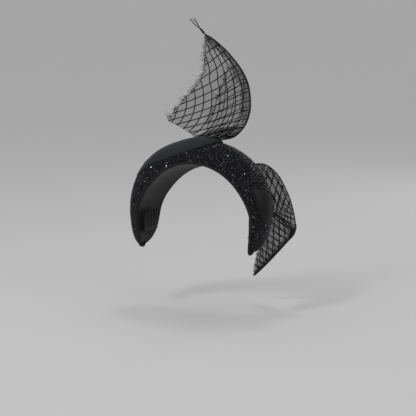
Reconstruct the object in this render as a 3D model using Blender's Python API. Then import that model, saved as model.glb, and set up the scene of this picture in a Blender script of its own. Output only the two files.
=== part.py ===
"""Padded headband fascinator: halo band, diagonal strip, net sail and side veil.

Metres, +Z up. The wearer faces -Y, so the wearer's right side is -X. The origin is the
centre of the head that the arch fits round. Everything soft is a plain closed solid.
"""
import math

import bmesh
import bpy
from mathutils import Vector

# ---------------------------------------------------------------- driving sizes
MM = 0.001
HEAD_RADIUS = 77.0        # inner radius of the arch at its rear edge
REAR_Y = 8.0              # plane of the rear edge
HEAD_LENGTH = 140.0       # how slowly the inner face narrows towards the front
HALF_ARC = 120.0          # degrees of arch on each side; past 90 the arms run straight down
BAND_WIDTH = 74.0         # front to back at the crown
BAND_NARROWING = 0.30     # share of the width lost towards the ends
END_WIDTH = 9.0           # width of the blunt end
END_ROUNDING = 4.5        # how far the rear edge turns in at the ends
PAD_HEIGHT = 31.0         # rise of the padding above the inner face
END_HEIGHT = 3.0          # thickness of the blunt end
SHOULDER_SWELL = 0.06     # the padding is this much fuller at 45 degrees
SIDE_SPREAD = 5.0         # the arch is this much wider where it grips the sides of the head
SIDE_THINNING = 8.0       # and its padding this much lower there
SIDE_REACH = 24.0         # degrees over which both fade out
LINING = 0.9              # lining thickness
GAP = 0.3                 # clearance between layers
SHELL = 1.6               # base shell thickness
CORE = 2.0                # inner band thickness
CORE_HALF = 9.0           # half its width
COVER = 0.9               # beaded fabric thickness
WIRE_R = 0.8              # edge wire radius
WIRE_HEIGHT = 2.0         # wire centre above the inner face
BINDING_WIDTH = 1.8
BINDING_HEIGHT = 3.6
NET = 0.8                 # net layer thickness
FOLD_R = 1.2              # rolled fold of the sail
RIM_R = 0.9               # wired rim of the veil
HEM_R = 1.7               # rolled hem of the veil
THREAD_R = 0.35           # sewing thread
TIP_R = 0.7               # loose threads of the sail's point
STRIP_LIFT = 0.9
STRIP = 1.2
STRIP_RISE = 4.0          # how far the strip's front edge climbs the foot of the sail
RISE_FROM = 22.0          # angle round the arch where that climb starts
RISE_SPAN = 18.0          # degrees over which it builds up
DIP_FROM = -4.0           # angle where it comes down again
DIP_SPAN = 8.0
DIP_SHARE = 0.6           # share of the climb lost there
ROOT_START = (6.0, -41.5, 104.4)    # gathered foot of the sail: angle, depth and radius at its left end
ROOT_RUN = (-17.0, 6.0, 1.4)        # and how much each changes up to the fold
ROOT_DEPTH = 2.6          # half the foot's depth at its fullest
ROOT_HEIGHT = 1.8         # and half its height
STITCH_OUT = 3.4          # its stitches lie this far in front of the middle
STITCH_WAVE = 0.9
TAB = 1.0
PATCH_R = 9.0             # sail patch
DISC_R = 6.0              # veil disc
PATCH = 1.2
COMB_PITCH = 4.0
COMB_TEETH = 9
COMB_TOOTH = 1.5          # tooth width
COMB_LENGTH = 24.0        # tooth length
COMB_SPINE = 3.0
COMB_THICK = 1.8
COMB_Z = -20.0            # height of the spines
COMB_Y = -20.0            # middle of the spines
COMB_PHI = 107.0          # angle round the arch just below the spines
COMB_INSET = 3.5          # spine centre inside the lining
COIL_R = 2.6              # whip stitch round a comb spine

SAIL_HINGE = (-4.0, -38.2, 107.5)
VEIL_HINGE = (-98.6, -46.6, 7.5)
SAIL_FOLD = [(-27, -34, 107), (-44, -33.5, 112), (-58, -33, 126.5), (-65.5, -32, 144),
             (-67, -31, 163), (-64, -31, 182), (-56.5, -31.5, 198), (-45, -32, 213),
             (-29.5, -33, 228.5), (-12, -34.3, 241.5), (0, -35, 248)]
SAIL_LONG_EDGE = [(19, -42.5, 108), (28, -44, 113.5), (40, -45, 119.5), (58.5, -46, 127), (51, -46, 142),
                  (36, -46, 156), (22, -46, 171), (8, -45, 190), (3, -43, 207), (0.5, -39, 230),
                  (1.5, -36, 243)]
SAIL_SHORT_EDGE = [(-6, -30, 114.5), (-10, -24, 131), (-20, -21, 151), (-27, -21, 171),
                   (-34, -23, 190), (-38, -27, 207)]
SAIL_TIP = [(0.9, -35, 249.2), (3.5, -35, 252), (9, -35, 257.5), (14.5, -35, 263.5), (20, -35, 269.5)]
VEIL_RIM = [(-56, -66, 70), (-66, -64.5, 71.5), (-77, -64, 71), (-88, -65, 64.5), (-97.5, -66, 54),
            (-105.5, -68, 38.5), (-112, -70, 22), (-116.5, -71, 4), (-119, -72, -12)]
VEIL_HEM = [(-119, -72.2, -14.5), (-114.5, -74, -25), (-103, -78, -37.5), (-82, -84, -60.5),
            (-64, -89, -79), (-51, -93, -91)]
VEIL_INNER = [(-50, -67.5, 62), (-58, -68, 52), (-67, -67, 38), (-78, -62, 22), (-98.6, -46.6, 7.5),
              (-84, -60, -14), (-70, -74, -36), (-60, -83, -58), (-53, -89, -76)]
VEIL_PHI = -86.0          # foot of the veil: angle round the arch
VEIL_THETA = 127.0        # and angle over the padding
STRIP_REAR = [(67, 158), (65, 118), (61, 80), (55, 52), (47, 41), (37, 33.5), (26, 27), (14, 29),
              (5, 35), (-3, 46), (-9, 62), (-13, 82)]
STRIP_FRONT = [(45, 165), (38, 150), (28, 132), (17, 115), (7, 102), (-2, 96), (-9, 93), (-14.5, 92)]
TAB_LOWER = [(-57, 35), (-63, 32), (-71, 30), (-80, 33), (-87, 46), (-92, 78), (-91, 112)]
TAB_UPPER = [(-58, 38), (-60, 47), (-62, 56), (-64, 66), (-67, 78), (-71, 95), (-75, 112)]


# ---------------------------------------------------------------- shape of the halo
def arch(phi):
    """Height of the arc centre and the outward direction (x, z) at phi degrees from the crown."""
    if abs(phi) <= 90.0:
        return 0.0, math.sin(math.radians(phi)), math.cos(math.radians(phi))
    drop = HEAD_RADIUS * math.radians(abs(phi) - 90.0)
    return -drop, math.copysign(1.0, phi), 0.0


def inner_radius(y):
    return HEAD_RADIUS * math.sqrt(1.0 - ((y - REAR_Y) / HEAD_LENGTH) ** 2)


def band_width(phi):
    u = min(abs(phi) / HALF_ARC, 1.0)
    width = BAND_WIDTH * (1.0 - BAND_NARROWING * u ** 2) * math.sqrt(1.0 - u ** 12)
    return max(width, END_WIDTH)


def at_sides(phi):
    """1 where the arch passes the sides of the head, fading to 0 at the crown."""
    return math.exp(-((abs(phi) - 90.0) / SIDE_REACH) ** 2)


def pad_height(phi):
    u = min(abs(phi) / HALF_ARC, 1.0)
    swell = 1.0 + SHOULDER_SWELL * math.sin(math.pi * min(1.0, 1.3 * u)) ** 2
    full = PAD_HEIGHT * swell * math.sqrt(1.0 - u ** 6)
    return max(full - SIDE_THINNING * at_sides(phi), END_HEIGHT)


def rear_edge(phi):
    """The rear edge lies in one plane and turns in at the rounded ends."""
    return REAR_Y - END_ROUNDING * min(abs(phi) / HALF_ARC, 1.0) ** 20


def place(phi, y, radius):
    z0, nx, nz = arch(phi)
    r = radius + SIDE_SPREAD * at_sides(phi)
    return Vector((r * nx, y, z0 + r * nz))


def profile(phi, theta, lift=0.0):
    """(y, radius) on the padded section; theta runs 0 at the rear edge to 180 at the front."""
    half = band_width(phi) / 2.0
    height = pad_height(phi)

    def raw(t):
        s = max(math.sin(math.radians(t)), 0.0)
        y = rear_edge(phi) - half + half * math.cos(math.radians(t))
        return y, inner_radius(y) + height * s ** 1.1

    y, r = raw(theta)
    if lift == 0.0:
        return y, r
    y0, r0 = raw(max(theta - 1.5, 0.0))
    y1, r1 = raw(min(theta + 1.5, 180.0))
    dy, dr = y1 - y0, r1 - r0
    size = math.hypot(dy, dr)
    return y + lift * dr / size, r - lift * dy / size


def on_band(phi, theta, lift=0.0):
    y, r = profile(phi, theta, lift)
    return place(phi, y, r)


def band_normal(phi, theta):
    along = on_band(phi + 1.0, theta) - on_band(phi - 1.0, theta)
    across = on_band(phi, theta + 1.5) - on_band(phi, theta - 1.5)
    return across.cross(along).normalized()


def stations(limit):
    """Angles from -limit to limit, shared by all layers so that their facets line up."""
    half = [i * 7.5 for i in range(1, 15)] + [109.0, 112.5, 115.5, 117.5, 119.0, 119.4]
    half = [a for a in half if a < limit - 0.3] + [limit]
    return [-a for a in reversed(half)] + [0.0] + half


# ---------------------------------------------------------------- small tools
def path(points, count):
    """Evenly spaced points on a smooth curve through the given ones."""
    pts = [Vector(p) for p in points]
    fine = []
    for i in range(len(pts) - 1):
        p0 = pts[max(i - 1, 0)]
        p1 = pts[i]
        p2 = pts[i + 1]
        p3 = pts[min(i + 2, len(pts) - 1)]
        for k in range(12):
            t = k / 12.0
            a = 2.0 * p1
            b = (p2 - p0) * t
            c = (2.0 * p0 - 5.0 * p1 + 4.0 * p2 - p3) * t ** 2
            d = (3.0 * p1 - p0 - 3.0 * p2 + p3) * t ** 3
            fine.append((a + b + c + d) * 0.5)
    fine.append(pts[-1])
    lengths = [0.0]
    for a, b in zip(fine, fine[1:]):
        lengths.append(lengths[-1] + (b - a).length)
    out = []
    k = 0
    for i in range(count):
        want = lengths[-1] * i / (count - 1)
        while k < len(fine) - 2 and lengths[k + 1] < want:
            k += 1
        part = (want - lengths[k]) / max(lengths[k + 1] - lengths[k], 1e-9)
        out.append(fine[k].lerp(fine[k + 1], min(part, 1.0)))
    return out


def material(name, colour, roughness, metallic=0.0, alpha=1.0):
    mat = bpy.data.materials.new(name)
    mat.use_nodes = True
    shader = mat.node_tree.nodes["Principled BSDF"]
    shader.inputs["Base Color"].default_value = (*colour, 1.0)
    shader.inputs["Roughness"].default_value = roughness
    shader.inputs["Metallic"].default_value = metallic
    shader.inputs["Alpha"].default_value = alpha
    return mat


def add_object(name, data, mat, smooth=True):
    data.materials.append(mat)
    obj = bpy.data.objects.new(name, data)
    COLLECTION.objects.link(obj)
    if smooth and isinstance(data, bpy.types.Mesh):
        for face in data.polygons:
            face.use_smooth = True
    return obj


def loft(name, rings, mat, origin=None):
    """Closed solid through rings of points in millimetres, capped at both ends."""
    base = Vector(origin) if origin else Vector()
    bm = bmesh.new()
    rows = [[bm.verts.new((Vector(p) - base) * MM) for p in ring] for ring in rings]
    count = len(rows[0])
    for a, b in zip(rows, rows[1:]):
        for i in range(count):
            j = (i + 1) % count
            bm.faces.new((a[i], a[j], b[j], b[i]))
    bm.faces.new(list(reversed(rows[0])))
    bm.faces.new(rows[-1])
    bmesh.ops.recalc_face_normals(bm, faces=bm.faces)
    bmesh.ops.triangulate(bm, faces=[f for f in bm.faces if len(f.verts) > 4])
    mesh = bpy.data.meshes.new(name)
    bm.to_mesh(mesh)
    bm.free()
    obj = add_object(name, mesh, mat)
    obj.location = base * MM
    return obj


def tube(name, points, radius, mat, origin=None, sides=1):
    """Round wire or thread along points in millimetres."""
    base = Vector(origin) if origin else Vector()
    curve = bpy.data.curves.new(name, "CURVE")
    curve.dimensions = "3D"
    curve.bevel_depth = radius * MM
    curve.bevel_resolution = sides
    curve.use_fill_caps = True
    spline = curve.splines.new("POLY")
    spline.points.add(len(points) - 1)
    for item, p in zip(spline.points, points):
        item.co = (*((Vector(p) - base) * MM), 1.0)
    obj = add_object(name, curve, mat)
    obj.location = base * MM
    return obj


def plate(low, high):
    """One ring of a slab: a row of low points and the same row at the top, reversed."""
    return list(low) + list(reversed(high))


# ---------------------------------------------------------------- halo layers
def section_layer(phi, y_rear, y_front, low, high, count):
    ys = [y_rear + (y_front - y_rear) * i / (count - 1) for i in range(count)]
    bottom = [place(phi, y, inner_radius(y) + low) for y in ys]
    top = [place(phi, y, inner_radius(y) + high) for y in ys]
    return plate(bottom, top)


def front_edge(phi):
    return rear_edge(phi) - band_width(phi)


def build_lining():
    rings = [section_layer(p, rear_edge(p) - 1.2, front_edge(p) + 1.2, 0.0, LINING, 5)
             for p in stations(HALF_ARC - 2.6)]
    loft("satin_lining", rings, SATIN)


def build_base_shell():
    low = LINING + GAP
    rings = [section_layer(p, rear_edge(p) - 4.4, front_edge(p) + 5.0, low, low + SHELL, 5)
             for p in stations(HALF_ARC - 5.0)]
    loft("base_shell", rings, BUCKRAM)


def build_core():
    low = LINING + SHELL + 2.0 * GAP
    rings = []
    for p in stations(HALF_ARC - 12.0):
        middle = rear_edge(p) - band_width(p) / 2.0
        rings.append(section_layer(p, middle + CORE_HALF, middle - CORE_HALF, low, low + CORE, 3))
    loft("headband_core", rings, CORE_PLASTIC)


def build_padding():
    """Wadding with a channel in its underside for the inner band."""
    low = LINING + SHELL + 2.0 * GAP
    channel = low + CORE + GAP
    rings = []
    for p in stations(HALF_ARC - 9.0):
        top = [profile(p, t, -COVER - 0.9) for t in (24, 34, 46, 60, 75, 90, 105, 120, 134, 146, 156)]
        middle = rear_edge(p) - band_width(p) / 2.0
        y_rear = top[0][0]
        y_front = top[-1][0]
        half = min(CORE_HALF + 0.5, (y_rear - y_front) / 2.0 - 1.0)
        under = [(y_front, low), ((y_front + middle - half) / 2.0, low), (middle - half, low),
                 (middle - half, channel), (middle, channel), (middle + half, channel),
                 (middle + half, low), ((y_rear + middle + half) / 2.0, low), (y_rear, low)]
        ring = [place(p, y, r) for y, r in top]
        ring += [place(p, y, inner_radius(y) + h) for y, h in under]
        rings.append(ring)
    loft("crown_padding", rings, WADDING)


def build_cover():
    """Bead-covered skin, open towards the head and closed at both ends of the arch."""
    thetas = (0, 8, 20, 34, 50, 66, 82, 98, 114, 130, 146, 160, 172, 180)
    rings = []
    for p in stations(HALF_ARC):
        outer = [on_band(p, t) for t in thetas]
        solid_end = HALF_ARC - abs(p) < 1.0
        inner = []
        for i, t in enumerate(thetas):
            y, r = profile(p, t, -COVER)
            if i in (0, len(thetas) - 1) or solid_end:
                half = band_width(p) / 2.0
                shift = (rear_edge(p) - half - y) / half
                y = y if not solid_end else rear_edge(p) - half - shift * (half - COVER)
                r = inner_radius(y)
            inner.append(place(p, y, r))
        rings.append(plate(outer, inner))
    loft("beaded_cover", rings, BEADED)


def edge_wire(name, y_of):
    points = []
    for p in stations(HALF_ARC - 9.0):
        y = y_of(p)
        points.append(place(p, y, inner_radius(y) + WIRE_HEIGHT))
    tube(name, points, WIRE_R, WIRE)


def build_edge_wires():
    edge_wire("rear_edge_wire", lambda p: rear_edge(p) - 3.0)
    edge_wire("front_edge_wire", lambda p: front_edge(p) + 3.6)


def binding(name, y_of, outward):
    rings = []
    for p in stations(HALF_ARC):
        near = y_of(p) + outward * GAP
        far = near + outward * BINDING_WIDTH
        height = min(BINDING_HEIGHT, pad_height(p) + 0.4)
        base = inner_radius(y_of(p))
        soft = 0.5
        bend = far - outward * soft
        ring = [(near, base - 0.2), (bend, base - 0.2), (far, base + soft),
                (far, base + height - soft), (bend, base + height), (near, base + height)]
        rings.append([place(p, y, r) for y, r in ring])
    loft(name, rings, BINDING)


def build_bindings():
    binding("rear_binding", rear_edge, 1.0)
    binding("front_binding", front_edge, -1.0)


# ---------------------------------------------------------------- laid on the halo
def strip_rise(phi, across):
    """Extra lift of the strip, whose front edge climbs the foot of the sail near the crown."""
    start = min(max((RISE_FROM - phi) / RISE_SPAN, 0.0), 1.0)
    end = min(max((DIP_FROM - phi) / DIP_SPAN, 0.0), 1.0)
    return STRIP_RISE * start * start * (3.0 - 2.0 * start) * (1.0 - DIP_SHARE * end) * across ** 3


def laid_piece(name, rear, front, rows, columns, lift, thick, mat, rise=lambda phi, across: 0.0):
    """Flat piece of fabric that follows the padded surface between two edge lines."""
    edge_a = path([(p, t, 0) for p, t in rear], rows)
    edge_b = path([(p, t, 0) for p, t in front], rows)
    rings = []
    for a, b in zip(edge_a, edge_b):
        shares = [i / (columns - 1) for i in range(columns)]
        row = [a.lerp(b, share) for share in shares]
        lifts = [lift + rise(q.x, share) for q, share in zip(row, shares)]
        low = [on_band(q.x, q.y, up) for q, up in zip(row, lifts)]
        high = [on_band(q.x, q.y, up + thick) for q, up in zip(row, lifts)]
        rings.append(plate(low, high))
    loft(name, rings, mat)


def build_strip():
    laid_piece("swirl_strip", STRIP_REAR, STRIP_FRONT, 17, 9, STRIP_LIFT, STRIP, STRIP_FABRIC,
               strip_rise)


def build_tab():
    laid_piece("satin_tab", TAB_LOWER, TAB_UPPER, 11, 5, STRIP_LIFT, TAB, SATIN_TAB)


def round_piece(name, centre, axis, steps, mat, sides=16):
    """Turned solid: steps are (distance along the axis, radius)."""
    axis = Vector(axis).normalized()
    side = axis.orthogonal().normalized()
    other = axis.cross(side)
    rings = []
    for along, radius in steps:
        ring = []
        for i in range(sides):
            a = 2.0 * math.pi * i / sides
            out = side * math.cos(a) + other * math.sin(a)
            ring.append(Vector(centre) + axis * along + out * radius)
        rings.append(ring)
    return loft(name, rings, mat)


def disc(name, phi, theta, radius, mat):
    low = 0.45
    steps = [(low, radius - 0.25), (low + 0.25, radius), (low + PATCH - 0.25, radius),
             (low + PATCH, radius - 0.25)]
    round_piece(name, on_band(phi, theta), band_normal(phi, theta), steps, mat, sides=24)


# ---------------------------------------------------------------- sail
def net_layer(name, inner, outer, rows, columns, bulge, offset, mat):
    """Thin net sheet between two edges, cupped front to back by bulge."""
    edge_a = path(inner, rows)
    edge_b = path(outer, rows)
    rings = []
    for k, (a, b) in enumerate(zip(edge_a, edge_b)):
        span = b - a
        first = a + span.normalized() * (FOLD_R + 1.0)
        fullness = math.sin(math.pi * (0.06 + 0.88 * k / (rows - 1)))
        low = []
        high = []
        for i in range(columns):
            t = i / (columns - 1)
            p = first.lerp(b, t)
            y = p.y + offset * (1.0 - t) + bulge * math.sin(math.pi * t) * fullness
            low.append(Vector((p.x, y - NET / 2.0, p.z)))
            high.append(Vector((p.x, y + NET / 2.0, p.z)))
        rings.append(plate(low, high))
    loft(name, rings, mat, SAIL_HINGE)


def build_sail():
    net_layer("sail_long_layer", SAIL_FOLD, SAIL_LONG_EDGE, 17, 9, -7.0, -2.0, NET_LONG)
    short_fold = path(SAIL_FOLD, 41)[2:27]
    net_layer("sail_short_layer", short_fold, SAIL_SHORT_EDGE, 13, 6, 5.0, 2.6, NET_SHORT)
    tube("sail_fold_wire", path(SAIL_FOLD, 33), FOLD_R, FOLD, SAIL_HINGE)


def root_line(t):
    """Angle, depth and radius of the sail's foot, from its left end at 0 to the fold at 1."""
    return tuple(a + b * t for a, b in zip(ROOT_START, ROOT_RUN))


def build_sail_root():
    """Gathered foot of the sail, lying along the crown, and the stitches on its front side."""
    rings = []
    stitches = []
    count = 13
    for i in range(count):
        t = i / (count - 1)
        phi, y, r = root_line(t)
        swell = max(math.sin(math.pi * (0.07 + 0.86 * t)), 0.0) ** 0.6
        ring = []
        for k in range(10):
            a = 2.0 * math.pi * k / 10
            y_out = y + ROOT_DEPTH * swell * math.cos(a)
            r_out = r + ROOT_HEIGHT * swell * math.sin(a)
            ring.append(place(phi, y_out, r_out))
        rings.append(ring)
    loft("sail_root_gather", rings, GATHER)
    for i in range(37):
        t = 0.1 + 0.8 * i / 36.0
        phi, y, r = root_line(t)
        wave = STITCH_WAVE * math.sin(2.0 * math.pi * 6.0 * t)
        stitches.append(place(phi, y - STITCH_OUT, r + wave))
    tube("sail_root_thread", stitches, THREAD_R, THREAD, sides=0)


def coil(name, start, end, radius, turns, wire, origin=None):
    start = Vector(start)
    axis = (Vector(end) - start)
    run = axis.normalized()
    side = run.cross(Vector((0, 0, 1)) if abs(run.z) < 0.9 else Vector((0, 1, 0))).normalized()
    other = run.cross(side)
    steps = 8
    total = turns * steps
    points = []
    for i in range(total + 1):
        a = 2.0 * math.pi * i / steps
        points.append(start + axis * (i / total) + (side * math.cos(a) + other * math.sin(a)) * radius)
    tube(name, points, wire, THREAD, origin, sides=0)


def build_sail_tip():
    """Whipping round the sail's point and the two threads twisted out of it."""
    line = path(SAIL_TIP, 25)
    for name, phase in (("sail_tip_thread_a", 0.0), ("sail_tip_thread_b", math.pi)):
        points = []
        for i, p in enumerate(line):
            t = i / (len(line) - 1)
            a = phase + 2.0 * math.pi * 2.2 * t
            spread = 0.95 + 0.9 * t ** 3
            side = Vector((0.7, 0.0, -0.7))
            points.append(p + (side * math.cos(a) + Vector((0, 1, 0)) * math.sin(a)) * spread)
        tube(name, points, TIP_R, THREAD, SAIL_HINGE, sides=0)
    coil("sail_tip_whipping", line[1], line[5], 2.5, 4, 0.4, SAIL_HINGE)


def build_sail_patch():
    disc("sail_anchor_patch", -4.0, 121.0, PATCH_R, FELT)


# ---------------------------------------------------------------- veil
def build_veil():
    rim = VEIL_RIM + VEIL_HEM[1:]
    for name, side in (("veil_front_layer", -1.0), ("veil_back_layer", 1.0)):
        edge_a = path(VEIL_INNER, 21)
        edge_b = path(rim, 21)
        rings = []
        for k, (a, b) in enumerate(zip(edge_a, edge_b)):
            across = (b - a).normalized()
            tangent = (edge_b[min(k + 1, 20)] - edge_b[max(k - 1, 0)]).normalized()
            clear = (HEM_R + 1.8) / max((across - tangent * across.dot(tangent)).length, 0.45)
            last = b - across * min(clear, 0.7 * (b - a).length)
            low = []
            high = []
            lobe = abs(math.sin(2.0 * math.pi * (0.02 + 0.96 * k / 20.0)))
            for i in range(7):
                t = i / 6.0
                p = a.lerp(last, t)
                out = Vector((-0.35, -0.9, 0.0)).normalized() * -side
                out_shift = 1.2 + 3.5 * lobe * math.sin(math.pi * t)
                low.append(p + out * (out_shift - NET / 2.0))
                high.append(p + out * (out_shift + NET / 2.0))
            rings.append(plate(low, high))
        loft(name, rings, NET_VEIL, VEIL_HINGE)
    tube("veil_rim_wire", path(VEIL_RIM, 25), RIM_R, FOLD, VEIL_HINGE)
    tube("veil_hem", path(VEIL_HEM, 17), HEM_R, FOLD, VEIL_HINGE)


def build_veil_foot():
    disc("veil_anchor_disc", VEIL_PHI, VEIL_THETA, DISC_R, FELT)
    foot = on_band(VEIL_PHI, VEIL_THETA)
    axis = band_normal(VEIL_PHI, VEIL_THETA)
    round_piece("veil_gather", foot, axis, [(2.0, 3.3), (2.8, 3.0), (4.2, 2.4), (5.2, 2.6)], GATHER)
    coil("veil_pinch_thread", foot + axis * 2.6, foot + axis * 4.9, 3.9, 3, THREAD_R)


# ---------------------------------------------------------------- combs
def comb_frame(sign):
    """Spine centre, its direction along the head and the direction towards the head."""
    x = inner_radius(COMB_Y) + SIDE_SPREAD * at_sides(COMB_PHI) - COMB_INSET
    slope = (inner_radius(COMB_Y + 15.0) - inner_radius(COMB_Y - 15.0)) / 30.0
    along = Vector((sign * slope, 1.0, 0.0)).normalized()
    inward = Vector((-sign, slope, 0.0)).normalized()
    return Vector((sign * x, COMB_Y, COMB_Z)), along, inward


def build_comb(name, sign):
    """Flat comb cut from one sheet: a spine with tapered teeth that point up."""
    centre, along, inward = comb_frame(sign)
    half = COMB_PITCH * (COMB_TEETH - 1) / 2.0 + COMB_TOOTH / 2.0
    outline = [(-half, -COMB_SPINE / 2.0), (half, -COMB_SPINE / 2.0)]
    for i in reversed(range(COMB_TEETH)):
        mid = (i - (COMB_TEETH - 1) / 2.0) * COMB_PITCH
        root = COMB_SPINE / 2.0
        tip = root + COMB_LENGTH
        outline += [(mid + COMB_TOOTH / 2.0, root), (mid + 0.35, tip), (mid - 0.35, tip),
                    (mid - COMB_TOOTH / 2.0, root)]
    bm = bmesh.new()
    front = []
    back = []
    for a, z in outline:
        flat = along * a + Vector((0, 0, z))
        front.append(bm.verts.new((flat + inward * COMB_THICK / 2.0) * MM))
        back.append(bm.verts.new((flat - inward * COMB_THICK / 2.0) * MM))
    bm.faces.new(front)
    bm.faces.new(list(reversed(back)))
    count = len(outline)
    for i in range(count):
        j = (i + 1) % count
        bm.faces.new((front[j], front[i], back[i], back[j]))
    bmesh.ops.recalc_face_normals(bm, faces=bm.faces)
    bmesh.ops.triangulate(bm, faces=[f for f in bm.faces if len(f.verts) > 4])
    mesh = bpy.data.meshes.new(name)
    bm.to_mesh(mesh)
    bm.free()
    obj = add_object(name, mesh, COMB_PLASTIC, smooth=False)
    obj.location = centre * MM


def build_comb_thread(name, sign):
    """Whip stitch that winds round the spine and passes between the teeth."""
    centre, along, _ = comb_frame(sign)
    turns = COMB_TEETH - 1
    half = COMB_PITCH * turns / 2.0
    steps = 8
    side = Vector((0, 0, 1))
    other = along.cross(side)
    points = []
    for i in range(turns * steps + 1):
        t = i / steps
        a = 2.0 * math.pi * (t - 0.5)
        along_at = -half + COMB_PITCH * t
        points.append(centre + along * along_at + (side * math.cos(a) + other * math.sin(a)) * COIL_R)
    tube(name, points, THREAD_R, THREAD, sides=0)


# ---------------------------------------------------------------- build
for old in list(bpy.data.objects):
    bpy.data.objects.remove(old, do_unlink=True)

COLLECTION = bpy.data.collections.new("fascinator_headpiece")
bpy.context.scene.collection.children.link(COLLECTION)
SATIN = material("satin_lining", (0.02, 0.02, 0.022), 0.35)
BUCKRAM = material("base_shell", (0.03, 0.03, 0.03), 0.8)
CORE_PLASTIC = material("headband_core", (0.02, 0.02, 0.02), 0.4)
WADDING = material("crown_padding", (0.5, 0.5, 0.48), 0.95)
BEADED = material("beaded_cover", (0.012, 0.012, 0.013), 0.3)
WIRE = material("edge_wire", (0.1, 0.1, 0.1), 0.5, metallic=0.8)
BINDING = material("binding", (0.015, 0.015, 0.016), 0.6)
STRIP_FABRIC = material("swirl_strip", (0.04, 0.042, 0.047), 0.7)
SATIN_TAB = material("satin_tab", (0.03, 0.03, 0.033), 0.35)
NET_LONG = material("sail_long_net", (0.02, 0.02, 0.02), 0.7, alpha=0.5)
NET_SHORT = material("sail_short_net", (0.02, 0.02, 0.02), 0.7, alpha=0.5)
NET_VEIL = material("veil_net", (0.02, 0.02, 0.02), 0.7, alpha=0.5)
FOLD = material("rolled_net", (0.012, 0.012, 0.012), 0.6)
GATHER = material("gathered_net", (0.012, 0.012, 0.012), 0.75)
THREAD = material("thread", (0.015, 0.015, 0.015), 0.7)
FELT = material("felt", (0.02, 0.02, 0.02), 0.95)
COMB_PLASTIC = material("comb", (0.02, 0.02, 0.02), 0.3)

build_lining()
build_base_shell()
build_core()
build_padding()
build_cover()
build_edge_wires()
build_bindings()
build_strip()
build_tab()
build_sail()
build_sail_root()
build_sail_tip()
build_sail_patch()
build_veil()
build_veil_foot()
build_comb("left_comb", 1.0)
build_comb("right_comb", -1.0)
build_comb_thread("left_comb_thread", 1.0)
build_comb_thread("right_comb_thread", -1.0)
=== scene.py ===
"""Looks of the fascinator: halo with faceted beads, fabric strip, satin tab, net sail, net veil.

Metres, +Z up, the wearer faces -Y. Sizes in the shape functions are in millimetres.
"""

import math

import bpy
import numpy as np
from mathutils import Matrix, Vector


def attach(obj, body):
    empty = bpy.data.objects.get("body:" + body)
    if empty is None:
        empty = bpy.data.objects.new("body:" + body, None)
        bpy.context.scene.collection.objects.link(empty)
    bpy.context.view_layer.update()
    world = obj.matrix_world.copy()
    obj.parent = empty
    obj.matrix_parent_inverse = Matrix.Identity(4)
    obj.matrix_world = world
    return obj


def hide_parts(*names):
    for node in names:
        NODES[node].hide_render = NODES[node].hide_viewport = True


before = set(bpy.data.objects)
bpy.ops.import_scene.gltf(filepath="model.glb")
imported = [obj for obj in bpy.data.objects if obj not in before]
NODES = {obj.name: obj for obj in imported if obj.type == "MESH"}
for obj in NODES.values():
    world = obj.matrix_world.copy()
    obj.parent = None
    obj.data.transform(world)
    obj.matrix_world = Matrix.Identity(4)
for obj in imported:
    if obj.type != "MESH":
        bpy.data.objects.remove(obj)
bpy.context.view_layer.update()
MM = 0.001
NET_HALF = 0.12         # half the thickness of a net's ground sheet
BEAD_PITCH = 1.62
RNG = np.random.default_rng(7)

# ---------------------------------------------------------------- shape of the halo
HEAD_RADIUS = 77.0
REAR_Y = 8.0
HEAD_LENGTH = 140.0
HALF_ARC = 120.0
ROUND_FROM = 116.5      # the arms' ends round off from here
ROUND_END = 122.0


def arch(phi):
    """Height of the arc centre and outward direction (x, z) at phi degrees from the crown."""
    phi = np.asarray(phi, float)
    inside = np.abs(phi) <= 90.0
    drop = np.where(inside, 0.0, -HEAD_RADIUS * np.radians(np.abs(phi) - 90.0))
    nx = np.where(inside, np.sin(np.radians(phi)), np.sign(phi))
    nz = np.where(inside, np.cos(np.radians(phi)), 0.0)
    return drop, nx, nz


def inner_radius(y):
    return HEAD_RADIUS * np.sqrt(1.0 - ((y - REAR_Y) / HEAD_LENGTH) ** 2)


def end_round(phi):
    """1 along the arch, falling like a quarter circle where an arm's end rounds off."""
    a = np.clip((np.abs(phi) - ROUND_FROM) / (ROUND_END - ROUND_FROM), 0.0, 1.0)
    return np.sqrt(1.0 - 0.95 * a ** 2.6)


def full_width(phi):
    u = np.minimum(np.abs(phi) / HALF_ARC, 1.0)
    return np.maximum(74.0 * (1.0 - 0.30 * u ** 2) * np.sqrt(1.0 - u ** 12), 12.0)


def band_width(phi):
    return full_width(phi) * end_round(phi)


def at_sides(phi):
    """1 where the arch passes the sides of the head, fading to 0 at the crown."""
    return np.exp(-((np.abs(phi) - 90.0) / 24.0) ** 2)


def rear_edge(phi):
    """The rear edge lies in one plane and turns in at the rounded ends."""
    turned = 4.5 * np.minimum(np.abs(phi) / HALF_ARC, 1.0) ** 20
    return REAR_Y - turned - (full_width(phi) - band_width(phi)) / 2.0


def front_edge(phi):
    return rear_edge(phi) - band_width(phi)


def pad_height(phi):
    u = np.minimum(np.abs(phi) / HALF_ARC, 1.0)
    swell = 1.0 + 0.06 * np.sin(np.pi * np.minimum(1.0, 1.3 * u)) ** 2
    full = 31.0 * swell * np.sqrt(1.0 - u ** 6)
    return np.maximum(full - 8.0 * at_sides(phi), 5.0) * end_round(phi)


def place(phi, y, radius):
    z0, nx, nz = arch(phi)
    spread = radius + 5.0 * at_sides(phi)
    return np.stack(np.broadcast_arrays(spread * nx, y, z0 + spread * nz), -1)


def raw_profile(phi, theta):
    half = band_width(phi) / 2.0
    rise = np.maximum(np.sin(np.radians(theta)), 0.0) ** 1.1
    y = rear_edge(phi) - half + half * np.cos(np.radians(theta))
    return y, inner_radius(y) + pad_height(phi) * rise


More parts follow.
